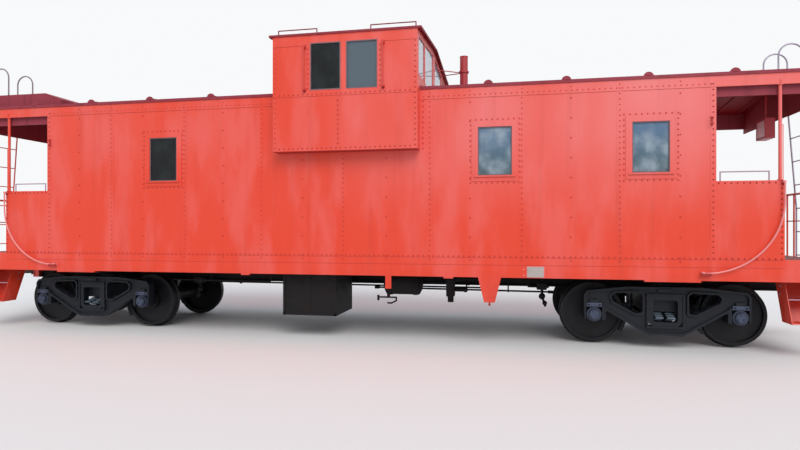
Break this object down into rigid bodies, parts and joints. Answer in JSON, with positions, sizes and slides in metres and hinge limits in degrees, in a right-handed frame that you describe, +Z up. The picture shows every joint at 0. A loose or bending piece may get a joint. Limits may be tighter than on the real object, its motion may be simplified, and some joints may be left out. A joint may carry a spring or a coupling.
{
  "type": "wide-cupola railway caboose",
  "caption": "Red steel railway caboose with a projecting cupola, open end platforms, swivelling trucks, turning wheelsets, swinging doors and couplers.",
  "frame": {"origin": "centre of the car on the floor under its wheel flanges", "axes": "+X along the car to the right as seen from the near side, +Y across to the far side, +Z up"},
  "size_m": [13.5598, 3.365, 4.5198],
  "materials": {
    "body_red": "gloss enamel over riveted steel, slightly faded",
    "roof_red": "dull maroon enamel",
    "underframe_black": "dusty black paint",
    "truck_steel": "weathered grey-black casting with a cool sheen",
    "wheel_steel": "dark steel, worn bright on the tread",
    "coupler_steel": "brown-black cast steel",
    "galvanised_steel": "silver-grey bar",
    "deck_paint": "worn dark floor paint",
    "glass": "clear window glass"
  },
  "bodies": {
    "carbody": {"air_reservoir": "underframe_black", "battery_box": "underframe_black", "body_bolsters": "underframe_black", "brake_cylinder": "underframe_black", "centre_sill": "underframe_black", "corner_posts": "body_red", "cross_members": "underframe_black", "cupola_ends": "body_red", "cupola_glass": "glass", "cupola_roof": "roof_red", "cupola_side_far": "body_red", "cupola_side_near": "body_red", "end_railing_left": "body_red", "end_railing_right": "body_red", "end_wall_left": "body_red", "end_wall_right": "body_red", "floor_deck": "deck_paint", "grab_irons_far": "body_red", "grab_irons_near": "body_red", "ladder_left": "galvanised_steel", "ladder_right": "galvanised_steel", "platform_lamp": "body_red", "platform_left": "body_red", "platform_right": "body_red", "roof_left": "roof_red", "roof_right": "roof_red", "side_sills": "body_red", "side_wall_far": "body_red", "side_wall_near": "body_red", "sill_brackets": "body_red", "smoke_jack": "body_red", "smoke_jack_braces": "body_red", "steps_left": "body_red", "steps_right": "body_red", "window_frames_far": "body_red", "window_frames_near": "body_red", "window_glass": "glass", "hand_brake": "body_red", "roof_platform": "roof_red"},
    "left_truck": {"left_truck_bolster": "truck_steel", "left_truck_brake_beams": "truck_steel", "left_truck_leaf_springs": "truck_steel", "left_truck_side_frames": "truck_steel", "left_truck_spring_boxes": "truck_steel"},
    "left_outer_wheelset": {"left_outer_wheelset": "wheel_steel"},
    "left_inner_wheelset": {"left_inner_wheelset": "wheel_steel"},
    "left_door": {"door_glass_left": "glass", "door_left": "body_red"},
    "left_coupler": {"coupler_left": "coupler_steel"},
    "right_truck": {"right_truck_bolster": "truck_steel", "right_truck_brake_beams": "truck_steel", "right_truck_leaf_springs": "truck_steel", "right_truck_side_frames": "truck_steel", "right_truck_spring_boxes": "truck_steel"},
    "right_outer_wheelset": {"right_outer_wheelset": "wheel_steel"},
    "right_inner_wheelset": {"right_inner_wheelset": "wheel_steel"},
    "right_door": {"door_glass_right": "glass", "door_right": "body_red"},
    "right_coupler": {"coupler_right": "coupler_steel"}
  },
  "joints": [
    {"name": "left_truck_swivel", "type": "hinge", "parent": "carbody", "child": "left_truck", "pos_m": [-4.38, 0, 0.682], "axis": [0, 0, 1], "range_deg": [-5, 5]},
    {"name": "left_outer_wheelset_spin", "type": "hinge", "parent": "left_truck", "child": "left_outer_wheelset", "pos_m": [-5.2945, 0, 0.444], "axis": [0, 1, 0], "continuous": true},
    {"name": "left_inner_wheelset_spin", "type": "hinge", "parent": "left_truck", "child": "left_inner_wheelset", "pos_m": [-3.4655, 0, 0.444], "axis": [0, 1, 0], "continuous": true},
    {"name": "left_door_swing", "type": "hinge", "parent": "carbody", "child": "left_door", "pos_m": [-4.817, -0.35, 2.2], "axis": [0, 0, -1], "range_deg": [0, 95]},
    {"name": "left_coupler_swing", "type": "hinge", "parent": "carbody", "child": "left_coupler", "pos_m": [-5.95, 0, 0.901], "axis": [0, 0, 1], "range_deg": [-6, 6]},
    {"name": "right_truck_swivel", "type": "hinge", "parent": "carbody", "child": "right_truck", "pos_m": [4.38, 0, 0.682], "axis": [0, 0, 1], "range_deg": [-5, 5]},
    {"name": "right_outer_wheelset_spin", "type": "hinge", "parent": "right_truck", "child": "right_outer_wheelset", "pos_m": [5.2945, 0, 0.444], "axis": [0, 1, 0], "continuous": true},
    {"name": "right_inner_wheelset_spin", "type": "hinge", "parent": "right_truck", "child": "right_inner_wheelset", "pos_m": [3.4655, 0, 0.444], "axis": [0, 1, 0], "continuous": true},
    {"name": "right_door_swing", "type": "hinge", "parent": "carbody", "child": "right_door", "pos_m": [4.817, 0.35, 2.2], "axis": [0, 0, -1], "range_deg": [0, 95]},
    {"name": "right_coupler_swing", "type": "hinge", "parent": "carbody", "child": "right_coupler", "pos_m": [5.95, 0, 0.901], "axis": [0, 0, 1], "range_deg": [-6, 6]}
  ]
}
